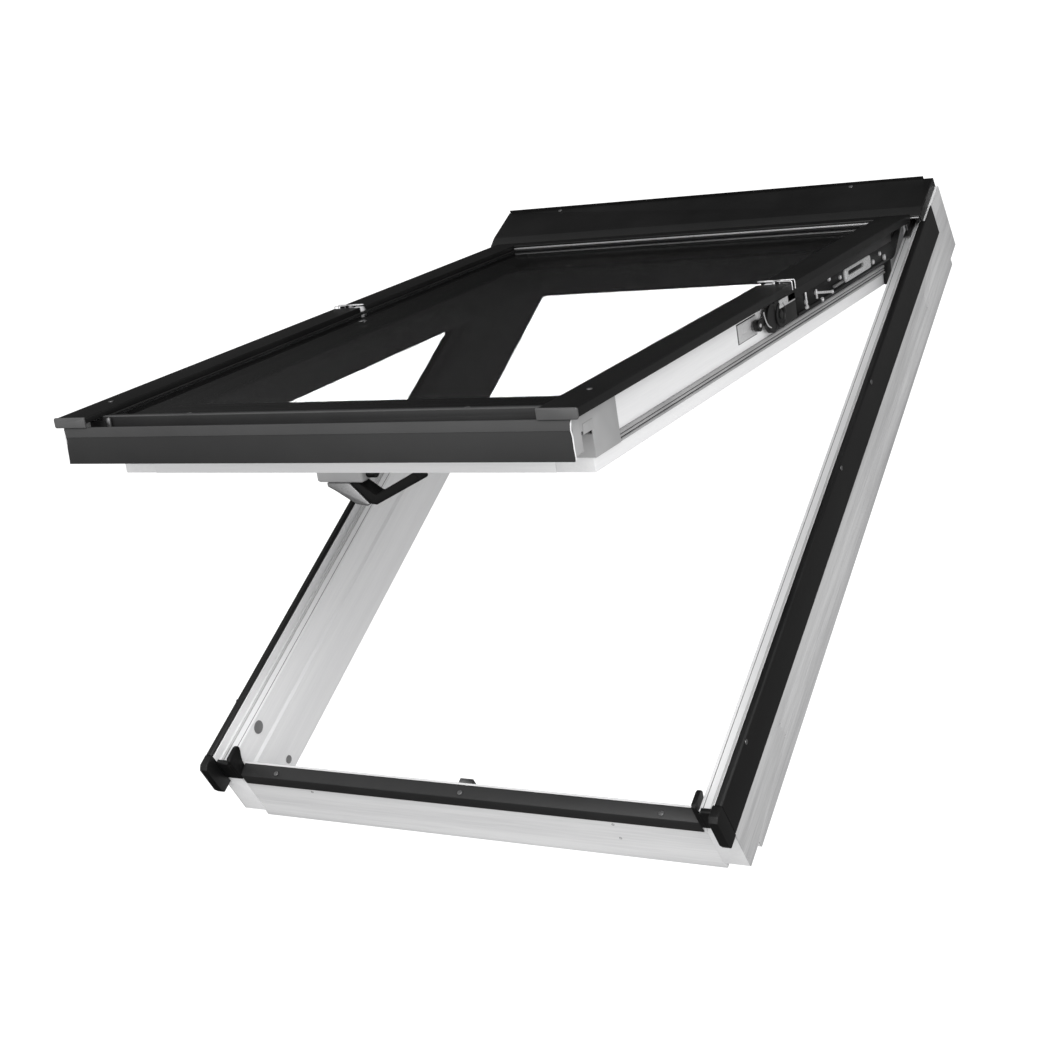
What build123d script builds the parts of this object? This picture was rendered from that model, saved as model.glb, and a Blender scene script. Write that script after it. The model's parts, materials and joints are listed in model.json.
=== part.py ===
"""Roof window with its frame: the sash hangs from its top edge and also turns about its middle."""
import os
from math import radians, sin, tan

from build123d import *

os.makedirs("parts", exist_ok=True)

# Outside size of the wooden frame, and how far the sash stands open
frame_width = 780.0
frame_height = 1180.0
open_angle = 28.5

# Wooden frame members
frame_depth = 130.0
stile_width = 37.0
rail_width = 36.0
lip_width = 11.0
lip_height = 12.0
lining_step = 3.0
lining_step_drop = 54.0
sill_step_drop = 60.0
sill_front_drop = 36.0
sill_slope_rise = 5.0
sill_rebate = 16.0
end_notch_length = 36.0
end_notch_height = 11.0

# Screw holes for the fixing brackets, in the outer faces of the stiles
fixing_radius = 1.5
fixing_depth = 25.0
fixing_spacing_y = 820.0
fixing_spacing_z = 24.0
fixing_centre_z = 46.0

# Cover sheets of the frame
sheet = 1.5
sheet_bend = 3.0
cover_rise = 4.5
cover_flange = 10.5
cover_drop = 55.0
cover_top_end = 53.5
sill_cover_drop = 17.5
sill_cover_back = 16.5

# Hood over the top rail
hood_side_inset = 5.0
hood_reach = 93.0
hood_front_height = 16.0
hood_ridge_height = 19.5
hood_ridge_run = 19.0
hood_lip = 4.0
hood_back_drop = 12.0
hood_upstand = 4.5
hood_upstand_inset = 20.0

# Sash members and the gaps round them
side_gap = 11.0
top_gap = 14.0
bottom_gap = 5.5
sash_drop = 80.0
sash_depth = 92.5
sash_stile_width = 50.0
sash_top_rail_width = 56.0
sash_bottom_rail_width = 57.0
sash_bevel_width = 40.0
sash_bevel_height = 17.0
rebate_wall = 14.0
rebate_depth = 32.2

# Glass unit
pane = 4.0
pane_gap = 16.0
pane_clearance = 1.0
pane_overhang = 31.0
pane_setback = 55.0
inner_pane_setback = 5.5
spacer_width = 12.0
spacer_inset = 15.0
seal_thickness = 2.0
seal_width = 6.0

# Cover sheets of the sash
cover_clearance = 10.0
sash_cover_width = 49.0
sash_cover_height = 11.0
cover_split = 8.0
top_cover_width = 27.0
hood_gap = 4.5

# Hinge, pivot and arm
hinge_setback = 48.0
hinge_rise = 8.0
pivot_rise = 0.5
pin_radius = 2.5
running_clearance = 0.05
fixed_clearance = 0.02
knuckle_radius = 6.0
plate_thickness = 4.5
plate_gap = 0.5
arm_thickness = 5.0
arm_height = 28.0
arm_drop = 24.0

# Handle and latch
handle_x = -24.0
handle_setback = 29.0
spindle_side = 7.0
latch_travel = 14.0

# Screw heads
screw_radius = 3.5
screw_height = 1.2
screw_sides = 12

# Main lines worked out from the sizes above
half_width = frame_width / 2
half_height = frame_height / 2
inner_x = half_width - stile_width
seat_x = inner_x + lining_step
lip_x = half_width - lip_width
inner_y = half_height - rail_width
lip_y = half_height - lip_width
ledge_z = frame_depth - lip_height
lining_step_z = frame_depth - lining_step_drop
sill_step_z = frame_depth - sill_step_drop
sill_slope_low = frame_depth - sill_front_drop
sill_slope_high = sill_slope_low + sill_slope_rise
cover_top = frame_depth + cover_rise
cover_x = lip_x + sheet + 0.5

sash_x = inner_x - side_gap
sash_top_y = inner_y - top_gap
sash_bottom_y = -inner_y + bottom_gap
sash_underside = frame_depth - sash_drop
sash_top = sash_underside + sash_depth
rebate_x = sash_x - rebate_wall
glass_z = sash_top - rebate_depth
pane_x = rebate_x - pane_clearance
outer_pane_z = glass_z + pane + pane_gap
glass_top = outer_pane_z + pane
seal_top = glass_top + seal_thickness
sash_cover_top = sash_top + sheet
sash_cover_x = lip_x + sheet + 0.5 - cover_clearance
sash_cover_inner = sash_cover_x - sash_cover_width

hinge_y = inner_y - hinge_setback
hinge_z = frame_depth + hinge_rise
hood_front_y = half_height - hood_reach
top_cover_y = hood_front_y - hood_gap
pane_top_y = sash_top_y - pane_setback
pane_bottom_y = sash_bottom_y - pane_overhang
pivot_z = sash_top + pivot_rise
plate_x = sash_x + plate_thickness
arm_x = plate_x + plate_gap
arm_outer_x = arm_x + arm_thickness
arm_top = sash_top - arm_drop - 4.5
arm_bottom = arm_top - arm_height


def block(x, y, z):
    """Block between two limits on each axis."""
    size = Box(x[1] - x[0], y[1] - y[0], z[1] - z[0])
    return Pos((x[0] + x[1]) / 2, (y[0] + y[1]) / 2, (z[0] + z[1]) / 2) * size


def outline(corners):
    """Closed face with straight sides; a third number at a corner is its round."""
    count = len(corners)
    points = [Vector(corner[0], corner[1]) for corner in corners]
    stops = []
    arcs = []
    for index, point in enumerate(points):
        radius = corners[index][2] if len(corners[index]) > 2 else 0
        if not radius:
            stops.append((point, point))
            arcs.append(None)
            continue
        back = (points[index - 1] - point).normalized()
        ahead = (points[(index + 1) % count] - point).normalized()
        half = radians(back.get_angle(ahead)) / 2
        start = point + back * (radius / tan(half))
        end = point + ahead * (radius / tan(half))
        middle = point + (back + ahead).normalized() * (radius / sin(half) - radius)
        stops.append((start, end))
        arcs.append(ThreePointArc(start, middle, end))
    edges = []
    for index in range(count):
        if arcs[index]:
            edges.append(arcs[index])
        edges.append(Line(stops[index][1], stops[(index + 1) % count][0]))
    return make_face(edges)


def along_x(corners, start, end):
    """Length of a section whose corners are given as (y, z)."""
    section = Plane.YZ.offset(start) * outline(corners)
    return extrude(section, end - start, dir=(1, 0, 0))


def along_y(corners, start, end):
    """Length of a section whose corners are given as (x, z)."""
    section = Plane((0, start, 0), x_dir=(1, 0, 0), z_dir=(0, -1, 0)) * outline(corners)
    return extrude(section, end - start, dir=(0, 1, 0))


def along_z(corners, start, end):
    """Length of a section whose corners are given as (x, y)."""
    section = Plane.XY.offset(start) * outline(corners)
    return extrude(section, end - start, dir=(0, 0, 1))


def folded(path, thickness, bend):
    """Corners of a folded sheet: the path is one face, the other lies to its left."""
    points = [Vector(*point) for point in path]
    near = []
    far = []
    for index, point in enumerate(points):
        into = (point - points[index - 1]).normalized() if index else None
        out = (points[index + 1] - point).normalized() if index + 1 < len(points) else None
        into = into or out
        out = out or into
        left_in = Vector(-into.Y, into.X)
        left_out = Vector(-out.Y, out.X)
        mitre = (left_in + left_out).normalized()
        offset = point + mitre * (thickness / mitre.dot(left_in))
        turn = into.X * out.Y - into.Y * out.X
        inside = max(bend - abs(thickness), 0)
        near_round, far_round = (bend, inside) if turn * thickness > 0 else (inside, bend)
        if abs(turn) < 0.02:
            near_round = far_round = 0
        near.append((point.X, point.Y, near_round))
        far.append((offset.X, offset.Y, far_round))
    return near + far[::-1]


def rod(centre, radius, length, axis):
    """Round bar that starts at a point and runs along an axis."""
    return Plane(origin=centre, z_dir=axis) * extrude(Circle(radius), length)


def screw_head(point, axis):
    """Low screw head that sits on a surface."""
    rim = RegularPolygon(screw_radius, screw_sides)
    return Plane(origin=point, z_dir=axis) * extrude(rim, screw_height)


def other_side(piece):
    """The same piece on the left of the window."""
    return mirror(piece, about=Plane.YZ)


def opened(piece):
    """Piece drawn in the closed window, turned about the top hinge to where it stands."""
    axis = Axis((0, hinge_y, hinge_z), (1, 0, 0))
    return piece.rotate(axis, -open_angle)


def save(name, pieces, raised=False):
    """Write one node, moved so that the middle of the footprint is the origin."""
    solids = []
    for piece in pieces:
        solids += piece.solids()
    placed = [Pos(0, footprint_shift, 0) * (opened(solid) if raised else solid) for solid in solids]
    node = placed[0] if len(placed) == 1 else Compound(children=placed)
    export_step(node, f"parts/{name}.step")


def save_pair(name, piece, raised=False):
    """Write the right-hand piece and its mirror image as two nodes."""
    save(f"{name}_right", [piece], raised)
    save(f"{name}_left", [other_side(piece)], raised)


# Wooden frame

end_cap_reach = 23.5
footprint_shift = (end_cap_reach - sheet) / 2

stile_section = [
    (inner_x, 0), (half_width, 0), (half_width, frame_depth), (lip_x, frame_depth),
    (lip_x, ledge_z), (seat_x, ledge_z), (seat_x, lining_step_z + 4), (inner_x, lining_step_z),
]
stile = along_y(stile_section, -half_height, half_height)
for end in (-1, 1):
    notch_from = end * half_height
    notch_to = end * (half_height - end_notch_length)
    stile -= block((inner_x, half_width), sorted((notch_from, notch_to)), (0, end_notch_height))
    for row in (-1, 1):
        hole_y = end * fixing_spacing_y / 2
        hole_z = fixing_centre_z + row * fixing_spacing_z / 2
        stile -= rod((half_width, hole_y, hole_z), fixing_radius, fixing_depth, (-1, 0, 0))

sill_back = -half_height + rail_width - sill_rebate
sill_section = [
    (-half_height, 0), (-half_height, sill_slope_low), (sill_back, sill_slope_high),
    (sill_back, sill_step_z), (-inner_y, sill_step_z), (-inner_y, 0),
]
head_section = [
    (inner_y, 0), (inner_y, ledge_z), (lip_y, ledge_z), (lip_y, frame_depth),
    (half_height, frame_depth), (half_height, 0),
]
both_stiles = stile + other_side(stile)
bottom_rail = along_x(sill_section, -seat_x, seat_x) - both_stiles
top_rail = along_x(head_section, -seat_x, seat_x) - both_stiles
save_pair("frame_stile", stile)
save("frame_bottom_rail", [bottom_rail])
save("frame_top_rail", [top_rail])

# Seal on the ledge of the frame, round three sides

frame_seal_height = 2.5
frame_seal_width = 4.0
frame_seal_x = lip_x - 5.0
frame_seal_y = lip_y - 10.0
seal_inner_x = frame_seal_x - frame_seal_width
frame_seal_z = (ledge_z, ledge_z + frame_seal_height)
frame_seal = block((-frame_seal_x, frame_seal_x), (-half_height, frame_seal_y), frame_seal_z)
frame_seal -= block((-seal_inner_x, seal_inner_x), (-half_height, frame_seal_y - frame_seal_width),
                    frame_seal_z)
save("frame_seal", [frame_seal])

# Folded cover sheets along the frame

side_cover_path = [
    (cover_x, frame_depth), (cover_x, cover_top), (half_width + sheet, cover_top),
    (half_width + sheet, cover_top - cover_drop),
]
side_cover = along_y(folded(side_cover_path, -sheet, sheet_bend), -half_height,
                     half_height - cover_top_end)
side_cover -= block((cover_x - 3, half_width), (hood_front_y + 1, half_height),
                    (frame_depth - 1, cover_top + 1))
save_pair("frame_side_cover", side_cover)

corner_x = seat_x - 6.0
sill_rise = (sill_slope_high - sill_slope_low) / (sill_back + half_height)
sill_cover_path = [
    (-half_height, sill_slope_low - sill_cover_drop), (-half_height, sill_slope_low),
    (-half_height + sill_cover_back, sill_slope_low + sill_cover_back * sill_rise),
]
sill_cover = along_x(folded(sill_cover_path, sheet, sheet_bend / 2), -corner_x, corner_x)
save("frame_bottom_cover", [sill_cover])

# Moulded corner blocks at the foot of the frame, and end caps of the side covers

corner_front = 3.0
corner_length = 52.0
corner_foot = sill_slope_low - 9.0
corner_top = frame_depth + 1.0
cap_inner_x = lip_x
corner_back_y = -half_height + corner_length
corner = along_x([
    (-half_height - corner_front, corner_foot), (-half_height - corner_front, corner_top, 8),
    (corner_back_y, corner_top, 10), (corner_back_y, sill_slope_high + 8, 12),
    (sill_back, sill_slope_high, 6), (sill_back, corner_foot),
], corner_x, seat_x)
corner = corner - bottom_rail - sill_cover
corner += block((seat_x, cap_inner_x), (-half_height - corner_front, -half_height),
                (corner_foot, frame_depth))
save_pair("corner_block", corner)

cap_outer_x = half_width + sheet + 1.0
cap_low = sill_step_z
cap_section = [
    (-half_height, cover_top, 1), (-half_height - end_cap_reach + 2, cover_top - 3.5, 4),
    (-half_height - end_cap_reach, cap_low + 19, 6), (-half_height - 8, cap_low, 3),
    (-half_height, cap_low),
]
end_cap = along_x(cap_section, cap_inner_x, cap_outer_x)
save_pair("cover_end_cap", end_cap)

# Hood sheet over the top rail, on a batten

hood_x = half_width - hood_side_inset
hood_front_z = frame_depth + hood_front_height
hood_ridge_z = frame_depth + hood_ridge_height
hood_ridge_y = hood_front_y + hood_ridge_run
hood_back_y = half_height + sheet
hood_fall = (hood_ridge_z - hood_front_z) / (hood_back_y - hood_ridge_y)
hood_back_z = frame_depth - hood_back_drop
hood_path = [
    (hood_front_y, hood_front_z - hood_lip), (hood_front_y, hood_front_z),
    (hood_ridge_y, hood_ridge_z), (hood_back_y, hood_front_z), (hood_back_y, hood_back_z),
]


def hood_top(y):
    """Height of the hood's upper face behind its ridge."""
    return hood_ridge_z - (y - hood_ridge_y) * hood_fall


hood = along_x(folded(hood_path, -sheet, sheet), -hood_x, hood_x)
flap = block((hood_x - sheet, hood_x), (hood_front_y + 2, half_height),
             (frame_depth, hood_front_z - sheet / 2))
upstand = along_x([
    (half_height, hood_front_z - sheet), (hood_back_y, hood_front_z - sheet),
    (hood_back_y, hood_front_z + hood_upstand), (half_height, hood_front_z + hood_upstand),
], -hood_x + 2.0, half_width - hood_upstand_inset)
hood = hood + flap + other_side(flap) + upstand
save("top_hood", [hood])

batten_front = lip_y - 9.0
batten_back = half_height - 2.0
batten_x = inner_x - 13.0
batten = along_x([
    (batten_front, ledge_z), (batten_front, hood_top(batten_front) - sheet * 1.01),
    (batten_back, hood_top(batten_back) - sheet * 1.01), (batten_back, frame_depth),
    (lip_y, frame_depth), (lip_y, ledge_z),
], -batten_x, batten_x)
save("hood_batten", [batten])

# Screws through the covers

side_screw_shares = (-0.836, -0.05, 0.24)
sill_screw_shares = (-0.746, 0.02, 0.762)
hood_screw_shares = (-0.718, 0.646)
sill_screw_inset = 6.0
hood_screw_inset = 5.0
frame_screws = []
for share in side_screw_shares:
    side_screw = screw_head((half_width + sheet, share * half_height, frame_depth), (1, 0, 0))
    frame_screws += [side_screw, other_side(side_screw)]
sill_normal = Vector(0, -sill_rise, 1).normalized()
sill_screw_z = sill_slope_low + sill_screw_inset * sill_rise
for share in sill_screw_shares:
    foot = Vector(share * half_width, -half_height + sill_screw_inset, sill_screw_z)
    frame_screws.append(screw_head(foot + sill_normal * sheet, sill_normal))
hood_normal = Vector(0, hood_fall, 1).normalized()
hood_screw_y = half_height - hood_screw_inset
for share in hood_screw_shares:
    foot = Vector(share * half_width, hood_screw_y, hood_top(hood_screw_y))
    frame_screws.append(screw_head(foot, hood_normal))
save("frame_cover_screws", frame_screws)

# Keeper on the sill that the latch slides under

keeper_z = sill_step_z + sheet
keeper_front = sill_back
keeper_back = -inner_y - 2.0
roof_z = keeper_z + 14.5
keeper = block((handle_x - 14, handle_x + 50), (keeper_front, -inner_y), (sill_step_z, keeper_z))
keeper += block((handle_x + 34, handle_x + 36), (keeper_front + 2, keeper_back),
                (sill_step_z, roof_z))
keeper += block((handle_x + 16, handle_x + 36), (keeper_front + 2, keeper_back),
                (roof_z, roof_z + 2))
save("keeper_plate", [keeper])

# Plugs that hide fixing holes on the inner faces of the stiles

upper_plug_inset = 74.0
lower_plug_inset = 82.0
upper_plug_drop = 13.0
lower_plug_z = 20.0
upper_plug_radius = 7.0
lower_plug_radius = 6.0
plug_rise = 1.2
upper_plug = rod((seat_x, -half_height + upper_plug_inset, ledge_z - upper_plug_drop),
                 upper_plug_radius, plug_rise, (-1, 0, 0))
lower_plug = rod((inner_x, -half_height + lower_plug_inset, lower_plug_z), lower_plug_radius,
                 plug_rise, (-1, 0, 0))
save("stile_plugs", [upper_plug, lower_plug, other_side(upper_plug), other_side(lower_plug)])

# Hinge brackets on the ledges, with their pins

bracket_x = seat_x + 1.0
bracket_plate = 4.0
bracket_base = 3.0
pin_start = arm_x - 0.1
pin_head = 2.0
bracket = block((bracket_x, bracket_x + 11), (hinge_y - 27, hinge_y + 28),
                (ledge_z, ledge_z + bracket_base))
bracket += along_x([(hinge_y - 12, ledge_z), (hinge_y - 7, hinge_z), (hinge_y + 7, hinge_z),
                    (hinge_y + 12, ledge_z)], bracket_x, bracket_x + bracket_plate)
bracket += rod((bracket_x, hinge_y, hinge_z), 7.0, bracket_plate, (1, 0, 0))
bracket -= rod((bracket_x - 1, hinge_y, hinge_z), pin_radius + fixed_clearance, 8.0, (1, 0, 0))
save_pair("hinge_bracket", bracket)

pin_end = bracket_x + bracket_plate
hinge_pin = rod((pin_start, hinge_y, hinge_z), pin_radius, pin_end - pin_start + pin_head, (1, 0, 0))
hinge_pin += rod((pin_end, hinge_y, hinge_z), 4.0, pin_head, (1, 0, 0))
save("hinge_pins", [hinge_pin, other_side(hinge_pin)])

# Lifting arms, drawn in the closed window

neck_start = hinge_y - 72.0
first_lug_y = 64.0
arm_outline = [
    (-40, arm_bottom, 8), (hinge_y - 50, arm_bottom, 30), (hinge_y + 5, hinge_z - 3),
    (hinge_y, hinge_z), (hinge_y - 6, hinge_z - 6, 3), (neck_start, hinge_z - 26, 20),
    (neck_start - 12, arm_top, 20), (40, arm_top, 12), (9, pivot_z - 8, 6), (9, sash_top),
    (4, sash_top), (4, pivot_z + 4.2), (-4, pivot_z + 4.2), (-4, sash_top), (-9, sash_top),
    (-9, pivot_z - 8, 6), (-40, arm_top, 12),
]
arm = along_x(arm_outline, arm_x, arm_outer_x)
knuckle_end = bracket_x - 0.3
arm += rod((arm_x, hinge_y, hinge_z), knuckle_radius, knuckle_end - arm_x, (1, 0, 0))
for y in (first_lug_y, hinge_y * 0.49, hinge_y - 81.0):
    arm += along_x([(y - 12, arm_top - 6), (y - 7, arm_top + 6, 4), (y - 7, sash_top),
                    (y + 7, sash_top), (y + 7, arm_top + 6, 4), (y + 12, arm_top - 6)],
                   arm_x, arm_outer_x)
for y, z in ((0, pivot_z), (hinge_y, hinge_z)):
    arm -= rod((arm_x - 1, y, z), pin_radius + running_clearance, 15.0, (1, 0, 0))
save_pair("hinge_arm", arm, raised=True)

# Friction housing and slider on the outer face of each arm

housing_y = -6.0
housing_z = arm_bottom + 18.0
housing_radius = 22.0
housing_depth = 3.5
housing = rod((arm_outer_x, housing_y, housing_z), housing_radius, housing_depth, (1, 0, 0))
rim = housing.edges().sort_by(Axis.X)[-1]
housing = chamfer(rim, 1.5)
housing += block((arm_outer_x, arm_outer_x + 2.5), (housing_y, housing_y + 48),
                 (housing_z - 11, housing_z + 9))
housing -= rod((arm_outer_x + 1.5, housing_y, housing_z), 9.0, 4.0, (1, 0, 0))
housing += rod((arm_outer_x, housing_y, housing_z), 5.0, housing_depth, (1, 0, 0))
save("friction_housings", [housing, other_side(housing)], raised=True)

slider_y = (hinge_y * 0.53, hinge_y * 0.69)
slider_z = (arm_bottom + 14.0, arm_bottom + 21.0)
slider_eye_y = slider_y[1] + 3.0
slider_eye_z = (slider_z[0] + slider_z[1]) / 2
guide_thickness = 1.5
slider = block((arm_outer_x, arm_outer_x + guide_thickness), slider_y, slider_z)
slider += rod((arm_outer_x, slider_eye_y, slider_eye_z), 8.0, guide_thickness, (1, 0, 0))
slider -= block((arm_outer_x - 1, arm_outer_x + 4), (slider_eye_y - 5, slider_eye_y + 5),
                (slider_eye_z - 1.5, slider_eye_z + 1.5))
stop_bar_y = hinge_y * 0.235
stop_bar = block((arm_outer_x, arm_outer_x + 2), (stop_bar_y, stop_bar_y + 5),
                 (arm_bottom + 5, arm_bottom + 22))
rivet_places = [(hinge_y * 0.34, 10.0), (hinge_y * 0.48, 8.0), (hinge_y * 0.8, 13.0)]
rivets = [rod((arm_outer_x, y, arm_bottom + rise), 4.5, 2.0, (1, 0, 0)) for y, rise in rivet_places]
guides = [slider, stop_bar] + rivets
save("arm_guides", guides + [other_side(guide) for guide in guides], raised=True)

# Cover sheets of the arms, over the upper half of the sash

side_sheet_path = [
    (sash_cover_x, sash_cover_top - sash_cover_height), (sash_cover_x, sash_cover_top),
    (sash_cover_inner, sash_cover_top), (sash_cover_inner, seal_top + 0.3),
]
upper_cover = along_y(folded(side_sheet_path, sheet, sheet_bend / 2), cover_split, top_cover_y)
save_pair("upper_side_cover", upper_cover, raised=True)

top_sheet_path = [
    (top_cover_y, seal_top + 0.7), (top_cover_y, sash_cover_top),
    (top_cover_y - top_cover_width, sash_cover_top),
    (top_cover_y - top_cover_width, seal_top + 0.3),
]
top_cover = along_x(folded(top_sheet_path, sheet, sheet_bend / 2),
                    -sash_cover_inner, sash_cover_inner)
save("sash_top_cover", [top_cover], raised=True)

# Wooden sash

sash_section = [
    (sash_x, sash_underside), (sash_x, sash_top), (rebate_x, sash_top), (rebate_x, glass_z),
    (sash_x - sash_stile_width, glass_z),
    (sash_x - sash_stile_width, sash_underside + sash_bevel_height),
    (sash_x - sash_stile_width + sash_bevel_width, sash_underside),
]
sash_stile = along_y(sash_section, sash_bottom_y, sash_top_y)
sash_stile -= block((rebate_x - 1, sash_x + 1), (top_cover_y - 2.5, sash_top_y + 1),
                    (glass_top, sash_top + 1))
sash_inner_x = sash_x - sash_stile_width
rail_back_y = sash_bottom_y + sash_bottom_rail_width
sash_stile += block((sash_inner_x, sash_x), (sash_bottom_y, rail_back_y),
                    (sash_underside, sash_underside + sash_bevel_height + 1))
save_pair("sash_stile", sash_stile, raised=True)

case_x = (handle_x - 36, handle_x + 54)
case_y = (sash_bottom_y, sash_bottom_y + 42.5)
case_z = (sash_underside + 22, sash_underside + 40)
handle_y = sash_bottom_y + handle_setback
spindle_hole = spindle_side * 0.75
sash_bottom_rail = block((-sash_inner_x, sash_inner_x), (sash_bottom_y, rail_back_y),
                         (sash_underside, glass_z))
sash_bottom_rail -= block(case_x, case_y, case_z)
sash_bottom_rail -= rod((handle_x, handle_y, sash_underside - 1), spindle_hole,
                        case_z[0] - sash_underside + 2, (0, 0, 1))
save("sash_bottom_rail", [sash_bottom_rail], raised=True)

top_rail_y = sash_top_y - sash_top_rail_width
sash_top_rail = along_x([
    (top_rail_y, sash_underside), (sash_top_y, sash_underside), (sash_top_y, glass_top),
    (pane_top_y + pane_clearance, glass_top), (pane_top_y + pane_clearance, glass_z),
    (top_rail_y, glass_z),
], -sash_inner_x, sash_inner_x)
stile_side = block((sash_inner_x, rebate_x), (pane_top_y + pane_clearance, sash_top_y),
                   (glass_z, glass_top))
sash_top_rail = sash_top_rail + stile_side + other_side(stile_side)
save("sash_top_rail", [sash_top_rail], raised=True)

# Stepped glass unit: the outer pane runs past the inner one at the foot

inner_pane_y = sash_bottom_y + inner_pane_setback
outer_pane = block((-pane_x, pane_x), (pane_bottom_y, pane_top_y), (outer_pane_z, glass_top))
inner_pane = block((-pane_x, pane_x), (inner_pane_y, pane_top_y), (glass_z, glass_z + pane))
save("outer_pane", [outer_pane], raised=True)
save("inner_pane", [inner_pane], raised=True)


def ring(x, y_low, y_high, width_x, width_low, width_high, z):
    """Flat ring between two heights."""
    outside = block((-x, x), (y_low, y_high), z)
    return outside - block((-x + width_x, x - width_x), (y_low + width_low, y_high - width_high), z)


spacer_x = pane_x - spacer_inset
spacer_low = inner_pane_y + spacer_inset
spacer_high = pane_top_y - 2.0
gap_z = (glass_z + pane, outer_pane_z)
spacer = ring(spacer_x, spacer_low, spacer_high, spacer_width, spacer_width, spacer_width, gap_z)
save("glass_spacer", [spacer], raised=True)
edge_seal = ring(pane_x - 2, inner_pane_y, pane_top_y, spacer_inset - 2, spacer_inset, 2.0, gap_z)
save("glass_edge_seal", [edge_seal], raised=True)

bead_x = sash_cover_inner + seal_width - 2
bead_high = top_cover_y - top_cover_width + seal_width - 2
bead = ring(bead_x, pane_bottom_y + 1, bead_high, seal_width, 0, seal_width, (glass_top, seal_top))
save("glazing_seal", [bead], raised=True)

# Extruded profile across the foot of the sash

front_y = -half_height - 32.0
profile_x = sash_cover_x - 10.0
channel_x = sash_x + 3.0
wall = 2.0
front_top_drop = 13.0
front_height = 46.0
front_top = sash_cover_top - front_top_drop
front_low = front_top - front_height
back_wall_y = pane_bottom_y - 12.0
front_profile = along_x([
    (front_y, front_top), (front_y, front_top - 15), (front_y - 2.4, front_low),
    (front_y - 2.4 + wall, front_low), (front_y + wall, front_top - 15),
    (front_y + wall, front_top),
], -profile_x, profile_x)
channel = block((-channel_x, channel_x), (front_y + 1, back_wall_y + wall),
                (front_top - 11, front_top - 9))
channel += block((-channel_x, channel_x), (back_wall_y, back_wall_y + wall),
                 (glass_z - wall, front_top))
channel += block((-sash_cover_inner, sash_cover_inner), (back_wall_y, back_wall_y + wall),
                 (front_top, glass_top + 2.2))
channel += block((-sash_cover_inner, sash_cover_inner), (back_wall_y, pane_bottom_y + 1),
                 (glass_top + 0.2, glass_top + 2.2))
channel += block((-channel_x, channel_x), (back_wall_y, sash_bottom_y), (glass_z - wall, glass_z))
channel += block((-channel_x, channel_x), (sash_bottom_y - wall, sash_bottom_y),
                 (glass_z - 14, glass_z))
front_profile += channel
save("front_profile", [front_profile], raised=True)

# Cover sheets over the lower half of the sash, and their end caps

lower_sheet_path = side_sheet_path[:3] + [(sash_cover_inner, seal_top)]
lower_cover = along_y(folded(lower_sheet_path, sheet, sheet_bend / 2), front_y, -cover_split)
save_pair("lower_side_cover", lower_cover, raised=True)

sash_cap_x = sash_cover_x + 2.0
sash_cap = along_y([
    (sash_cover_inner, front_top + 0.5), (sash_cap_x, front_top + 0.5, 3),
    (sash_cap_x, sash_cover_top + 0.8, 3), (sash_cover_inner, sash_cover_top + 0.8, 1),
], front_y - 3, front_y)
save_pair("sash_end_cap", sash_cap, raised=True)

# Grey moulded pieces at the lower corners of the sash, gaskets and stops on its sides

moulding_thickness = 5.0
moulding_length = 59.0
side_strip_rise = 18.0
moulding_x = sash_x + moulding_thickness
moulding_back = sash_bottom_y + moulding_length
side_strip_low = sash_underside + side_strip_rise
fill_y = (front_y + wall, front_y + wall + 24)
moulding = block((sash_x, moulding_x), (sash_bottom_y, moulding_back), (side_strip_low, front_top))
moulding += block((channel_x, moulding_x), (fill_y[0] + 2, sash_bottom_y), (glass_z - 6, front_top))
moulding += block((channel_x, profile_x - 3), fill_y, (front_low + 3, front_top))
moulding += block((sash_x - 30, moulding_x), (sash_bottom_y - 3, sash_bottom_y),
                  (side_strip_low, glass_z - 15))
moulding += block((channel_x, moulding_x), (sash_bottom_y - 3, sash_bottom_y),
                  (side_strip_low, front_top))
moulding -= front_profile
save_pair("side_moulding", moulding, raised=True)

gasket_height = 13.0
gasket_stop_short = 116.0
gasket_thickness = 4.0
gasket_top = side_strip_low + gasket_height
gasket_end = sash_top_y - gasket_stop_short
gasket_x = sash_x + gasket_thickness
gasket = along_y([
    (sash_x, side_strip_low), (gasket_x, side_strip_low, 1), (gasket_x, gasket_top, 2),
    (sash_x, gasket_top),
], moulding_back, gasket_end)
save_pair("side_gasket", gasket, raised=True)

stop_length = 30.0
stop_height = 40.0
stop = block((sash_x, gasket_x), (gasket_end, gasket_end + stop_length),
             (sash_underside, sash_underside + stop_height))
catch_y = -102.0
catch_z = sash_top - 37.5
catch = block((sash_x, sash_x + 1.5), (catch_y - 30, catch_y + 30), (catch_z - 12, catch_z + 12))
catch -= block((sash_x - 1, sash_x + 3), (catch_y - 16, catch_y + 16), (catch_z - 3, catch_z + 3))
save("stop_blocks", [stop, other_side(stop)], raised=True)
save("catch_plates", [catch, other_side(catch)], raised=True)

# Pivot plates on the sash, their pins, and the clips that bridge the split in the covers

pivot_plate = along_x([
    (-30, arm_bottom + 4, 4), (30, arm_bottom + 4, 4), (30, sash_top - 16, 8), (6, sash_top - 12, 4),
    (3, pivot_z), (3, pivot_z + 4.2), (-3, pivot_z + 4.2), (-3, pivot_z), (-6, sash_top - 12, 4),
    (-30, sash_top - 16, 8),
], sash_x, plate_x)
pivot_plate += rod((sash_x, 0, pivot_z), 3.9, plate_thickness, (1, 0, 0))
pivot_plate -= rod((sash_x - 1, 0, pivot_z), pin_radius + fixed_clearance, 8.0, (1, 0, 0))
save_pair("pivot_plate", pivot_plate, raised=True)

pivot_pin = rod((sash_x, 0, pivot_z), pin_radius, arm_outer_x - sash_x + 0.5, (1, 0, 0))
pivot_pin += rod((arm_outer_x + 0.3, 0, pivot_z), 3.6, 1.2, (1, 0, 0))
save("pivot_pins", [pivot_pin, other_side(pivot_pin)], raised=True)

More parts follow.
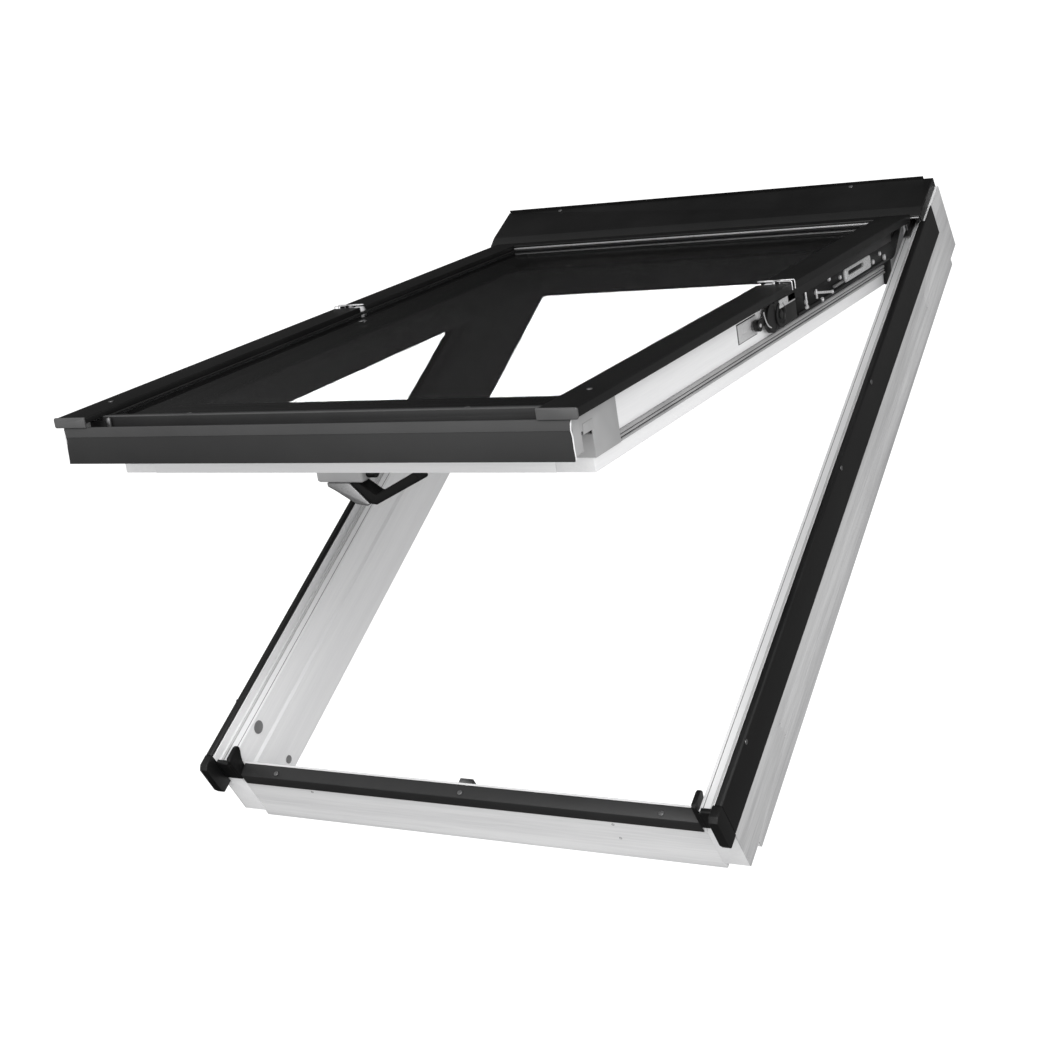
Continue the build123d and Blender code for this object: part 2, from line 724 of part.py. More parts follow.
clip_half = 5.5
clip = 0.8
clip_z = pivot_z + 4.2
outer_clip = block((arm_x + 0.3, sash_cover_x + clip), (-clip_half, clip_half),
                   (clip_z, clip_z + clip))
outer_clip += block((sash_cover_x, sash_cover_x + clip), (-clip_half, clip_half),
                    (sash_cover_top - sash_cover_height, clip_z + clip))
inner_clip = block((sash_cover_inner - 2, plate_x + 0.2), (-clip_half, clip_half),
                   (clip_z, clip_z + clip))
inner_clip += block((sash_cover_inner - 2, sash_cover_inner - 2 + clip), (-clip_half, clip_half),
                    (seal_top + 0.5, clip_z + clip))
save("pivot_clips_outer", [outer_clip, other_side(outer_clip)], raised=True)
save("pivot_clips_inner", [inner_clip, other_side(inner_clip)], raised=True)

# Screws and a drain pin on the sash covers

lip_z = glass_top + 2.2
lip_screw_shares = (-0.58, 0.66)
cover_screw_inset = 25.0
cover_screw_setback = 77.0
cover_screw = screw_head((sash_cover_inner + cover_screw_inset, front_y + cover_screw_setback,
                          sash_cover_top), (0, 0, 1))
sash_screws = [cover_screw, other_side(cover_screw)]
for share in lip_screw_shares:
    sash_screws.append(screw_head((share * sash_cover_inner, back_wall_y + 6.5, lip_z), (0, 0, 1)))
drain_pin = rod((-sash_cover_inner + 13, back_wall_y - 4.5, front_top - 9), 3.0, 14.0, (0, 0, 1))
save("sash_screws", sash_screws + [drain_pin], raised=True)

# Handle in the middle of the bottom rail

base_z = (sash_underside - 17, sash_underside)
base_y = (handle_y - 15, handle_y + 15)
handle_base = along_z([
    (handle_x - 28, base_y[0], 4), (handle_x + 40, base_y[0], 4), (handle_x + 40, base_y[1], 4),
    (handle_x - 28, base_y[1], 4),
], *base_z)
lower_face = handle_base.faces().sort_by(Axis.Z)[0]
handle_base = chamfer(lower_face.edges(), 2.5)
handle_base -= rod((handle_x, handle_y, base_z[0] - 1), spindle_hole, 20.0, (0, 0, 1))
save("handle_base", [handle_base], raised=True)

lever_top = base_z[0] - 0.5
lever_low = lever_top - 29.5
lever_y = (handle_y - 12, handle_y + 12)
lever = along_y([
    (handle_x - 16, lever_top), (handle_x + 17, lever_top), (handle_x + 43, lever_top - 27.5),
    (handle_x + 38, lever_low, 3), (handle_x + 22, lever_low + 2, 8),
    (handle_x - 6, lever_top - 10.5, 14), (handle_x - 16, lever_top - 5.5, 3),
], *lever_y)
spindle_half = spindle_side / 2
spindle = block((handle_x - spindle_half, handle_x + spindle_half),
                (handle_y - spindle_half, handle_y + spindle_half),
                (lever_top - 3.5, case_z[1] - 4))
lever -= spindle
grip = along_y([
    (handle_x + 17, lever_top), (handle_x + 43, lever_top - 27.5),
    (handle_x + 51, lever_top - 28.5, 4), (handle_x + 120, lever_top + 2.5, 3),
    (handle_x + 114, lever_top + 10.5, 3), (handle_x + 108, lever_top + 10.5, 3),
    (handle_x + 52, lever_top - 15.5, 6), (handle_x + 30, lever_top),
], lever_y[0] + 1, lever_y[1] - 1)
save("handle_lever", [lever], raised=True)
save("handle_grip", [grip], raised=True)
save("handle_spindle", [spindle], raised=True)

# Lock case in the bottom rail, and the latch that the spindle drives

latch_z = (case_z[0] + 6, case_z[0] + 12)
latch_x = (handle_x - 6, handle_x + 12)
slide_clearance = 0.2
lock_case = block(case_x, case_y, case_z)
lock_case -= rod((handle_x, handle_y, case_z[0] - 1), spindle_hole, 15.2, (0, 0, 1))
lock_case -= block((latch_x[0] - 1, latch_x[1] + latch_travel + 1),
                   (case_y[0] - 1, case_y[0] + 24.0),
                   (latch_z[0] - slide_clearance, latch_z[1] + slide_clearance))
save("lock_case", [lock_case], raised=True)
tongue = block(latch_x, (case_y[0] - 15.5, case_y[0] + 23.0), latch_z)
save("latch_tongue", [tongue], raised=True)
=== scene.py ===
import json
import math
import bpy
from mathutils import Matrix, Vector

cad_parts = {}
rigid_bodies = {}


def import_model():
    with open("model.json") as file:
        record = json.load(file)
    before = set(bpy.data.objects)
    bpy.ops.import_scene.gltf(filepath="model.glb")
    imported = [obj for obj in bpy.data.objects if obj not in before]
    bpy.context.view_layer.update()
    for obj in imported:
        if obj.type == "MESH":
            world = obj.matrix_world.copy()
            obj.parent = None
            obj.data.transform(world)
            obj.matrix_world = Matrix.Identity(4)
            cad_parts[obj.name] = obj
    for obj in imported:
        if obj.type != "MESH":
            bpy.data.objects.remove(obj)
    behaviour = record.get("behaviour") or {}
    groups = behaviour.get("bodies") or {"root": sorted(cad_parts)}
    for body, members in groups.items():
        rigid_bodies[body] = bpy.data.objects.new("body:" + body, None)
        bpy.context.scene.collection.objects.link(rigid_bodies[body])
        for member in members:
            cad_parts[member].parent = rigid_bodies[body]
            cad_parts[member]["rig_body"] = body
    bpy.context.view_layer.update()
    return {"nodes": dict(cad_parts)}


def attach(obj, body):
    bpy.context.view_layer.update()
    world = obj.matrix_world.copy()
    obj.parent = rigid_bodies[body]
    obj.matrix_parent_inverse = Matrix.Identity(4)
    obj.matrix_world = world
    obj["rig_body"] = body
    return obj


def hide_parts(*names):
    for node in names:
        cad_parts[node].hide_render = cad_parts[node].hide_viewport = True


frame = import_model()

# The camera stands in front of the window's right-hand side and above it, and is rolled
# to the right, as in the photograph. Its place and lens were fitted to the frame's edges.
camera_place = (1.32454, -1.73471, 1.87523)
camera_turn = (50.9656, 21.7289, 22.9124)
camera_data = bpy.data.cameras.new("camera")
camera_data.lens = 64.334
camera_data.shift_x = 0.03
camera_data.shift_y = -0.12
camera = bpy.data.objects.new("camera", camera_data)
camera.location = camera_place
camera.rotation_euler = [math.radians(angle) for angle in camera_turn]
bpy.context.scene.collection.objects.link(camera)
bpy.context.scene.camera = camera
bpy.context.scene.view_settings.view_transform = "Standard"


# The studio is white all round: a pale floor, soft light from above, and three large
# lamps. Reflections are brighter towards the front, so the dark sheets stay dark.
floor_size = 40.0
floor_seen = 1.2
seen_through_glass = 64.0
floor_light = 0.80
floor_reflected = ((-2.6, 0.085), (-0.7, 0.022), (0.2, 0.03), (0.8, 0.30))
room_light = 0.64
room_reflected = ((-1.0, 0.42), (0.25, 0.80), (0.36, 0.60), (0.58, 0.12), (0.80, 0.03))
bpy.ops.object.select_all(action="DESELECT")
bpy.ops.mesh.primitive_plane_add(size=floor_size, location=(0, 0, 0))
floor = bpy.context.object
floor.name = "studio_floor"
floor_paint = bpy.data.materials.new("studio_white")
floor_paint.use_nodes = True
tree = floor_paint.node_tree
tree.nodes.clear()


def choose(tree, switch, off, on):
    """One of two values, by a switch that is 0 or 1."""
    mix = tree.nodes.new("ShaderNodeMix")
    for socket, value in ((mix.inputs[0], switch), (mix.inputs[2], off), (mix.inputs[3], on)):
        if isinstance(value, (int, float)):
            socket.default_value = value
        else:
            tree.links.new(value, socket)
    return mix.outputs[0]


def combined(tree, operation, first, second):
    """Two values put together by a sum or a comparison."""
    made = tree.nodes.new("ShaderNodeMath")
    made.operation = operation
    for socket, value in zip(made.inputs, (first, second)):
        if isinstance(value, (int, float)):
            socket.default_value = value
        else:
            tree.links.new(value, socket)
    return made.outputs[0]


def graded(tree, value, steps):
    """A level that follows a value through a few (value, level) steps."""
    first, last = steps[0][0], steps[-1][0]
    spread = tree.nodes.new("ShaderNodeMapRange")
    spread.inputs["From Min"].default_value = first
    spread.inputs["From Max"].default_value = last
    tree.links.new(value, spread.inputs["Value"])
    ramp = tree.nodes.new("ShaderNodeValToRGB")
    tree.links.new(spread.outputs["Result"], ramp.inputs["Fac"])
    stops = ramp.color_ramp.elements
    while len(stops) < len(steps):
        stops.new(0.5)
    for index, (at, level) in enumerate(steps):
        stops[index].position = (at - first) / (last - first)
        stops[index].color = (level, level, level, 1)
    return ramp.outputs["Color"]


where = tree.nodes.new("ShaderNodeTexCoord")
across = tree.nodes.new("ShaderNodeSeparateXYZ")
tree.links.new(where.outputs["Object"], across.inputs[0])
reflected = graded(tree, across.outputs["X"], floor_reflected)
glow = tree.nodes.new("ShaderNodeEmission")
path = tree.nodes.new("ShaderNodeLightPath")
through = combined(tree, "GREATER_THAN", path.outputs["Transparent Depth"], 0.5)
seen = choose(tree, through, floor_seen, seen_through_glass)
strength = choose(tree, path.outputs["Is Glossy Ray"], floor_light, reflected)
strength = choose(tree, path.outputs["Is Camera Ray"], strength, seen)
tree.links.new(strength, glow.inputs["Strength"])
tree.links.new(glow.outputs[0], tree.nodes.new("ShaderNodeOutputMaterial").inputs["Surface"])
floor.data.materials.append(floor_paint)

world = bpy.data.worlds.new("studio")
world.use_nodes = True
tree = world.node_tree
path = tree.nodes.new("ShaderNodeLightPath")
towards = tree.nodes.new("ShaderNodeTexCoord")
parts = tree.nodes.new("ShaderNodeSeparateXYZ")
tree.links.new(towards.outputs["Generated"], parts.inputs[0])
reflected = graded(tree, parts.outputs["Y"], room_reflected)
strength = choose(tree, path.outputs["Is Glossy Ray"], room_light, reflected)
through = combined(tree, "GREATER_THAN", path.outputs["Transparent Depth"], 0.5)
seen = choose(tree, through, floor_seen, seen_through_glass)
strength = choose(tree, path.outputs["Is Camera Ray"], strength, seen)
tree.links.new(strength, tree.nodes["Background"].inputs["Strength"])
tree.nodes["Background"].inputs["Color"].default_value = (1, 1, 1, 1)
bpy.context.scene.world = world
for name, place, size, power in (
    ("right_lamp", (3.4, -1.0, 2.2), 2.6, 55.0),
    ("front_lamp", (-0.8, -3.8, 2.4), 2.4, 24.0),
    ("top_lamp", (0.7, -1.3, 4.0), 2.2, 95.0),
):
    lamp_data = bpy.data.lights.new(name, "AREA")
    lamp_data.energy = power
    lamp_data.size = size
    lamp = bpy.data.objects.new(name, lamp_data)
    lamp.location = place
    lamp.rotation_euler = (Vector((0, 0, 0.2)) - Vector(place)).to_track_quat("-Z", "Y").to_euler()
    bpy.context.scene.collection.objects.link(lamp)


# The wooden frame: stiles and rails of laminated pine, planed, glued and pinned at the
# corners, and sprayed with white lacquer that lets a little of the grain show.
grain_share = 0.45
wood_edge = 0.0014


def new_material(name):
    """An empty node material with its tree and its main shader."""
    made = bpy.data.materials.new(name)
    made.use_nodes = True
    return made, made.node_tree, made.node_tree.nodes["Principled BSDF"]


def object_pattern(tree, scale, turn=(0, 0, 0)):
    """Object coordinates, stretched and turned."""
    where = tree.nodes.new("ShaderNodeTexCoord")
    mapping = tree.nodes.new("ShaderNodeMapping")
    mapping.vector_type = "TEXTURE" if turn != (0, 0, 0) else "POINT"
    if turn != (0, 0, 0):
        scale = [1 / share for share in scale]
    mapping.inputs["Scale"].default_value = scale
    mapping.inputs["Rotation"].default_value = turn
    tree.links.new(where.outputs["Object"], mapping.inputs["Vector"])
    return mapping.outputs["Vector"]


def noise(tree, vector, scale, detail=4.0, roughness=0.55):
    """A noise pattern."""
    made = tree.nodes.new("ShaderNodeTexNoise")
    made.inputs["Scale"].default_value = scale
    made.inputs["Detail"].default_value = detail
    made.inputs["Roughness"].default_value = roughness
    tree.links.new(vector, made.inputs["Vector"])
    return made.outputs["Fac"]


def between(tree, value, low, high, lowest=0.3, highest=0.7):
    """A pattern's value, spread between two limits."""
    made = tree.nodes.new("ShaderNodeMapRange")
    made.inputs["From Min"].default_value = lowest
    made.inputs["From Max"].default_value = highest
    made.inputs["To Min"].default_value = low
    made.inputs["To Max"].default_value = high
    tree.links.new(value, made.inputs["Value"])
    return made.outputs["Result"]


def grey(tree, value, dark, light):
    """Colour between two greys."""
    made = tree.nodes.new("ShaderNodeMix")
    made.data_type = "RGBA"
    made.inputs[6].default_value = (dark, dark, dark * 1.01, 1)
    made.inputs[7].default_value = (light, light, light * 1.005, 1)
    tree.links.new(value, made.inputs[0])
    return made.outputs[2]


def painted(tree, shader, value, dark, light, smoothest, roughest):
    """Colour and roughness that follow one pattern."""
    colour = grey(tree, between(tree, value, 0.0, 1.0), dark, light)
    tree.links.new(colour, shader.inputs["Base Color"])
    tree.links.new(between(tree, value, smoothest, roughest), shader.inputs["Roughness"])


def relief(tree, shader, value, strength, distance):
    """Surface relief from a pattern's value."""
    made = tree.nodes.new("ShaderNodeBump")
    made.inputs["Strength"].default_value = strength
    made.inputs["Distance"].default_value = distance
    tree.links.new(value, made.inputs["Height"])
    tree.links.new(made.outputs["Normal"], shader.inputs["Normal"])


def lacquered_wood(name, stretch, turn, dark, light, roughness=0.45, painted_shade_beyond=None):
    """White lacquer over faint grain and broad streaks that run along one axis. Beyond a distance
    from the middle, on the outer side faces that the roof hides, the colour is darker: painted
    shade."""
    made, tree, shader = new_material(name)
    vector = object_pattern(tree, stretch, turn)
    grain = noise(tree, vector, 42.0, 6.0, 0.62)
    streak = noise(tree, vector, 7.0, 3.0, 0.5)
    both = combined(tree, "ADD", combined(tree, "MULTIPLY", grain, grain_share),
                    combined(tree, "MULTIPLY", streak, 1 - grain_share))
    colour = grey(tree, between(tree, both, 0.0, 1.0, 0.36, 0.62), dark, light)
    # Painted shade: beyond this distance the outer side faces take a darker colour.
    if painted_shade_beyond:
        place = tree.nodes.new("ShaderNodeSeparateXYZ")
        tree.links.new(object_pattern(tree, (1, 1, 1)), place.inputs[0])
        away = combined(tree, "ABSOLUTE", place.outputs["X"], 0.0)
        away = combined(tree, "GREATER_THAN", away, painted_shade_beyond)
        painted_shade = grey(tree, between(tree, both, 0.0, 1.0, 0.36, 0.60), 0.40, 0.56)
        mix = tree.nodes.new("ShaderNodeMix")
        mix.data_type = "RGBA"
        tree.links.new(away, mix.inputs[0])
        tree.links.new(colour, mix.inputs[6])
        tree.links.new(painted_shade, mix.inputs[7])
        colour = mix.outputs[2]
    tree.links.new(colour, shader.inputs["Base Color"])
    shine = between(tree, grain, roughness + 0.08, roughness - 0.06)
    tree.links.new(shine, shader.inputs["Roughness"])
    relief(tree, shader, grain, 0.10, 0.0003)
    return made


def alone(piece):
    """Select one piece and make it the active one."""
    bpy.ops.object.select_all(action="DESELECT")
    piece.select_set(True)
    bpy.context.view_layer.objects.active = piece


def soften(piece, width, segments=2, angle=35):
    """Round the sharp edges of a piece and shade it smooth between them."""
    alone(piece)
    bevel = piece.modifiers.new("soft edges", "BEVEL")
    bevel.width = width
    bevel.segments = segments
    bevel.limit_method = "ANGLE"
    bevel.angle_limit = math.radians(angle)
    bpy.ops.object.modifier_apply(modifier=bevel.name)
    bpy.ops.object.shade_smooth_by_angle(angle=math.radians(32))


def finished(node, edge, material, segments=2):
    """A copy of one solid with its sharp edges softened, which stands in for it."""
    source = frame["nodes"][node]
    piece = bpy.data.objects.new("finished_" + node, source.data.copy())
    bpy.context.scene.collection.objects.link(piece)
    alone(piece)
    if piece.data.has_custom_normals:
        bpy.ops.mesh.customdata_custom_splitnormals_clear()
    bpy.ops.object.mode_set(mode="EDIT")
    bpy.ops.mesh.select_all(action="SELECT")
    bpy.ops.mesh.remove_doubles(threshold=0.00001)
    bpy.ops.mesh.dissolve_limited(angle_limit=math.radians(0.5))
    bpy.ops.object.mode_set(mode="OBJECT")
    soften(piece, edge, segments)
    piece.data.materials.clear()
    piece.data.materials.append(material)
    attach(piece, source["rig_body"])
    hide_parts(node)
    return piece


# The stiles' outer side faces get a painted shade.
frame_wood_along_y = lacquered_wood("frame_stile_lacquer", (8, 0.3, 8), (0, 0, 0), 0.72, 0.78,
                                    painted_shade_beyond=0.3885)
frame_wood_along_x = lacquered_wood("frame_rail_lacquer", (0.3, 8, 8), (0, 0, 0), 0.60, 0.72)
for node in ("frame_stile_left", "frame_stile_right"):
    finished(node, wood_edge, frame_wood_along_y, 3)
for node in ("frame_bottom_rail", "frame_top_rail", "hood_batten"):
    finished(node, wood_edge, frame_wood_along_x, 3)


# Pins that hold the corner joints while the glue sets. Their heads are punched just
# under the wood, and the lacquer sinks round them.
def disc(name, centre, radius, length, axis, sides=24):
    """Round piece that starts at a point and runs along an axis, in metres."""
    bpy.ops.object.select_all(action="DESELECT")
    axis = Vector(axis)
    bpy.ops.mesh.primitive_cylinder_add(
        vertices=sides, radius=radius, depth=length, location=Vector(centre) + axis * length / 2,
        rotation=axis.to_track_quat("Z", "Y").to_euler())
    piece = bpy.context.object
    piece.name = name
    bpy.ops.object.transform_apply(location=True, rotation=True, scale=True)
    return piece


def joined(name, pieces):
    """Several pieces made one."""
    bpy.ops.object.select_all(action="DESELECT")
    for piece in pieces:
        piece.select_set(True)
    bpy.context.view_layer.objects.active = pieces[0]
    if len(pieces) > 1:
        bpy.ops.object.join()
    pieces[0].name = name
    return pieces[0]


def dressed(piece, material, body, replaced=()):
    """Give a piece its finish and the body that it rides on."""
    piece.data.materials.clear()
    piece.data.materials.append(material)
    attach(piece, body)
    if replaced:
        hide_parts(*replaced)
    return piece


def cupped(piece, axis, inset, depth):
    """Sink the middle of the end face that looks along an axis."""
    alone(piece)
    axis = Vector(axis)
    for face in piece.data.polygons:
        face.select = len(face.vertices) > 6 and face.normal.dot(axis) > 0.9
    bpy.ops.object.mode_set(mode="EDIT")
    bpy.ops.mesh.select_mode(type="FACE")
    bpy.ops.mesh.inset(thickness=inset)
    bpy.ops.mesh.inset(thickness=inset * 0.2)
    bpy.ops.transform.translate(value=axis * -depth)
    bpy.ops.object.mode_set(mode="OBJECT")


front_of_frame = -0.579
pin_metal, tree, shader = new_material("punched_pin")
shader.inputs["Base Color"].default_value = (0.16, 0.16, 0.16, 1)
tree.links.new(between(tree, noise(tree, object_pattern(tree, (1, 1, 1)), 600.0), 0.5, 0.8),
               shader.inputs["Roughness"])
pins = []
for x, z in ((-0.241, 0.041), (-0.241, 0.070), (0.223, 0.070), (0.223, 0.041)):
    pin = disc("pin", (x, front_of_frame + 0.001, z), 0.0019, 0.0013, (0, -1, 0), 16)
    cupped(pin, (0, -1, 0), 0.0005, 0.0005)
    pins.append(pin)
dressed(joined("corner_pins", pins), pin_metal, "frame")


# Plastic plugs close the fixing holes on the inner faces of the stiles: a large one high
# up and a small, darker one low down. Each has a rim and a slightly sunken middle.
def moulded(name, dark, light, roughness, specular=0.4):
    """Moulded plastic with a fine spark-eroded texture."""
    made, tree, shader = new_material(name)
    vector = object_pattern(tree, (1, 1, 1))
    fine = noise(tree, vector, 1400.0, 2.0, 0.6)
    broad = noise(tree, vector, 12.0, 3.0, 0.5)
    painted(tree, shader, broad, dark, light, roughness - 0.05, roughness + 0.06)
    shader.inputs["Specular IOR Level"].default_value = specular
    relief(tree, shader, fine, 0.2, 0.0001)
    return made


def other_side(piece, name):
    """The mirror image of a piece, on the left of the window."""
    copy = piece.copy()
    copy.data = piece.data.copy()
    copy.name = name
    bpy.context.scene.collection.objects.link(copy)
    alone(copy)
    copy.scale.x = -1
    bpy.ops.object.transform_apply(location=True, rotation=True, scale=True)
    bpy.ops.object.mode_set(mode="EDIT")
    bpy.ops.mesh.select_all(action="SELECT")
    bpy.ops.mesh.normals_make_consistent(inside=False)
    bpy.ops.object.mode_set(mode="OBJECT")
    return copy


def turned(name, centre, radius, length, axis, sides, inset, depth, edge, segments=2):
    """Round piece with a sunken end face and softened edges."""
    piece = disc(name, centre, radius, length, axis, sides)
    cupped(piece, axis, inset, depth)
    soften(piece, edge, segments)
    return piece


plug_plastic = moulded("plug_plastic", 0.14, 0.20, 0.5)
inwards = (-1, 0, 0)
large_plug = turned("large_plug", (0.356, -0.505, 0.105), 0.0095, 0.0012, inwards, 32, 0.0014,
                    0.0005, 0.0003)
small_plug = turned("small_plug", (0.353, -0.497, 0.020), 0.006, 0.0012, inwards, 32, 0.0012,
                    0.0005, 0.0003)
plugs = [large_plug, small_plug, other_side(large_plug, "plug"), other_side(small_plug, "plug")]
dressed(joined("stile_plug_set", plugs), plug_plastic, "frame", ["stile_plugs"])


# The frame seal is a pale rubber strip round three sides of the ledge. It is pressed
# into a groove and has a soft rounded back.
pale_seal = moulded("pale_seal_rubber", 0.42, 0.5, 0.6)
finished("frame_seal", 0.0012, pale_seal, 3)


# The groove beside the seal shows as a fine dark line along each ledge. A thin dark strip in it is
# a painted shadow of the groove.
groove_place = (0.3604, -0.0245, 0.1180)
groove_width, groove_length, shadow_strip_height = 0.0008, 1.105, 0.0004
# Painted shadow: a thin dark strip laid in the groove.
groove_shadow_paint = moulded("groove_shadow_paint", 0.10, 0.14, 0.6, 0.3)
bpy.ops.object.select_all(action="DESELECT")
bpy.ops.mesh.primitive_plane_add(size=1, location=groove_place)
groove = bpy.context.object
groove.scale = (groove_width, groove_length, 1)
bpy.ops.object.transform_apply(location=True, rotation=True, scale=True)
bpy.ops.object.mode_set(mode="EDIT")
bpy.ops.mesh.select_all(action="SELECT")
bpy.ops.mesh.extrude_region_move(TRANSFORM_OT_translate={"value": (0, 0, shadow_strip_height)})
bpy.ops.mesh.select_all(action="SELECT")
bpy.ops.mesh.normals_make_consistent(inside=False)
bpy.ops.object.mode_set(mode="OBJECT")
soften(groove, 0.0001, 1)
dressed(joined("painted_shadow_lines", [groove, other_side(groove, "painted_shadow_line")]), groove_shadow_paint, "frame")


# Cover sheets of the frame: folded aluminium with a near-black satin coat, screwed to
# the stiles and to the sill.
def coated_sheet(name, dark, light, roughness, specular):
    """Satin powder coat: a very fine grain, and faint streaks left by wiping."""
    made, tree, shader = new_material(name)
    fine = noise(tree, object_pattern(tree, (1, 1, 1)), 1100.0, 2.0, 0.5)
    wiped = noise(tree, object_pattern(tree, (1, 1, 1)), 9.0, 4.0, 0.6)
    painted(tree, shader, wiped, dark, light, roughness - 0.05, roughness + 0.07)
    relief(tree, shader, fine, 0.12, 0.0001)
    shader.inputs["Specular IOR Level"].default_value = specular
    return made


sheet_edge = 0.0005
dark_coat = coated_sheet("dark_sheet_coat", 0.0048, 0.0075, 0.40, 0.3)
for node in ("frame_side_cover_left", "frame_side_cover_right"):
    finished(node, sheet_edge, dark_coat)
sill_coat = coated_sheet("sill_sheet_coat", 0.018, 0.024, 0.46, 0.35)
finished("frame_bottom_cover", sheet_edge, sill_coat)


# Corner blocks: black moulded plastic, pushed on at the ends of the sill cover. Each is an
# upright with a hollowed back edge, tied to a plate down the front with a lip on the ledge.
def strip(name, corners, start, end, axis):
    """Length of a section: corners are (y, z) for a strip along x, and (x, z) along y."""
    bpy.ops.object.select_all(action="DESELECT")
    bpy.ops.mesh.primitive_circle_add(vertices=len(corners), radius=0.01, fill_type="NGON")
    piece = bpy.context.object
    piece.name = name
    for point, (a, b) in zip(piece.data.vertices, corners):
        point.co = (start, a, b) if axis == "x" else (a, start, b)
    run = (end - start, 0, 0) if axis == "x" else (0, end - start, 0)
    bpy.ops.object.mode_set(mode="EDIT")
    bpy.ops.mesh.select_all(action="SELECT")
    bpy.ops.mesh.extrude_region_move(TRANSFORM_OT_translate={"value": run})
    bpy.ops.mesh.select_all(action="SELECT")
    bpy.ops.mesh.normals_make_consistent(inside=False)
    bpy.ops.object.mode_set(mode="OBJECT")
    return piece


def block(name, low, high):
    """Block between two corners, in metres."""
    bpy.ops.object.select_all(action="DESELECT")
    middle = [(a + b) / 2 for a, b in zip(low, high)]
    bpy.ops.mesh.primitive_cube_add(size=1, location=middle)
    piece = bpy.context.object
    piece.name = name
    piece.scale = [b - a for a, b in zip(low, high)]
    bpy.ops.object.transform_apply(location=True, rotation=True, scale=True)
    return piece


black_plastic = moulded("black_plastic_moulding", 0.004, 0.006, 0.42, 0.35)
block_in, block_mid, block_out = 0.350, 0.356, 0.379
plate_start, block_low = 0.3590, 0.0880
frame_front = -0.582
upright = strip("upright", [
    (frame_front, block_low), (frame_front, 0.1275), (-0.5790, 0.1305), (-0.5600, 0.1305),
    (-0.5560, 0.1285), (-0.5550, 0.1245), (-0.5575, 0.1190), (-0.5615, 0.1120), (-0.5640, 0.1060),
    (-0.5650, 0.0990), (-0.5650, block_low)], block_in, block_mid, "x")
ledge_plate = strip("ledge_plate", [
    (frame_front, block_low), (frame_front, 0.1195), (-0.5810, 0.1210), (-0.5760, 0.1210),
    (-0.5750, 0.1200), (-0.5750, 0.1180), (front_of_frame, 0.1180), (front_of_frame, block_low)],
    plate_start, block_out, "x")
tie = block("tie", (block_mid - 0.0005, frame_front, block_low),
            (plate_start + 0.0005, front_of_frame, 0.1170))
corner = joined("corner_block", [upright, tie, ledge_plate])
soften(corner, 0.0008, 3)
dressed(joined("corner_blocks", [corner, other_side(corner, "corner_block_copy")]), black_plastic,
        "frame", ["corner_block_left", "corner_block_right"])


# End caps of the side covers: black moulded plastic, pushed over the sheet's end and
# flush with its side, with a bevelled front.
cover_face = 0.3915
cap = strip("cover_cap", [
    (-0.5790, 0.1343), (-0.5960, 0.1340), (-0.6020, 0.1290), (-0.6022, 0.0850), (-0.5985, 0.0760),
    (-0.5790, 0.0760)], block_out, cover_face, "x")
soften(cap, 0.0013, 4, 20)
dressed(joined("cover_caps", [cap, other_side(cap, "cover_cap_copy")]), black_plastic, "frame",
        ["cover_end_cap_left", "cover_end_cap_right"])


# The hood over the top rail: one folded sheet on a batten, with a rolled bead along its front lip
# that stiffens the edge. The bead's light grey is a painted highlight.
finished("top_hood", sheet_edge, dark_coat)
outwards = (1, 0, 0)
bead_x, bead_y, bead_z, bead_radius = 0.3835, 0.5068, 0.1436, 0.0011
bead = disc("hood_front_bead", (-bead_x, bead_y, bead_z), bead_radius, 2 * bead_x, outwards, 16)
soften(bead, 0.0005)
# Painted highlight: the bead is coloured light grey, far lighter than the hood, to show the
# highlight along the lip.
bead_highlight_coat = coated_sheet("hood_bead_highlight_coat", 0.26, 0.34, 0.28, 0.5)
dressed(bead, bead_highlight_coat, "frame")


# Screws: stainless pan heads with a cross recess, in the side covers, the sill cover and
# the hood's back edge.
def plated(name, dark, light, roughness, metallic=1.0):
    """Plated or brushed metal with faint streaks."""
    made, tree, shader = new_material(name)
    streak = noise(tree, object_pattern(tree, (60, 60, 60)), 9.0, 4.0, 0.6)
    shader.inputs["Metallic"].default_value = metallic
    painted(tree, shader, streak, dark, light, roughness - 0.06, roughness + 0.08)
    relief(tree, shader, streak, 0.08, 0.0001)
    return made


def boolean_cut(piece, cutter):
    """Cut one piece out of another."""
    cut = piece.modifiers.new("cut", "BOOLEAN")
    cut.operation = "DIFFERENCE"
    cut.object = cutter
    alone(piece)
    bpy.ops.object.modifier_apply(modifier=cut.name)
    bpy.data.objects.remove(cutter)


def cross_screw(place, axis, radius=0.0035, height=0.0012):
    """Pan head with a cross recess, on a surface and looking along an axis."""
    bpy.ops.object.select_all(action="DESELECT")
    bpy.ops.mesh.primitive_cylinder_add(vertices=24, radius=radius, depth=height,
                                        location=(0, 0, height / 2))
    head = bpy.context.object
    bpy.ops.object.transform_apply(location=True, rotation=True, scale=True)
    soften(head, height * 0.5, 3)
    for turn in (0, math.pi / 2):
        bpy.ops.object.select_all(action="DESELECT")
        bpy.ops.mesh.primitive_cube_add(size=1, location=(0, 0, height), rotation=(0, 0, turn))
        cutter = bpy.context.object
        cutter.scale = (radius * 1.15, radius * 0.28, height * 0.9)
        bpy.ops.object.transform_apply(location=True, rotation=True, scale=True)
        boolean_cut(head, cutter)
    head.location = place
    head.rotation_euler = Vector(axis).to_track_quat("Z", "Y").to_euler()
    alone(head)
    bpy.ops.object.transform_apply(location=True, rotation=True, scale=True)
    return head


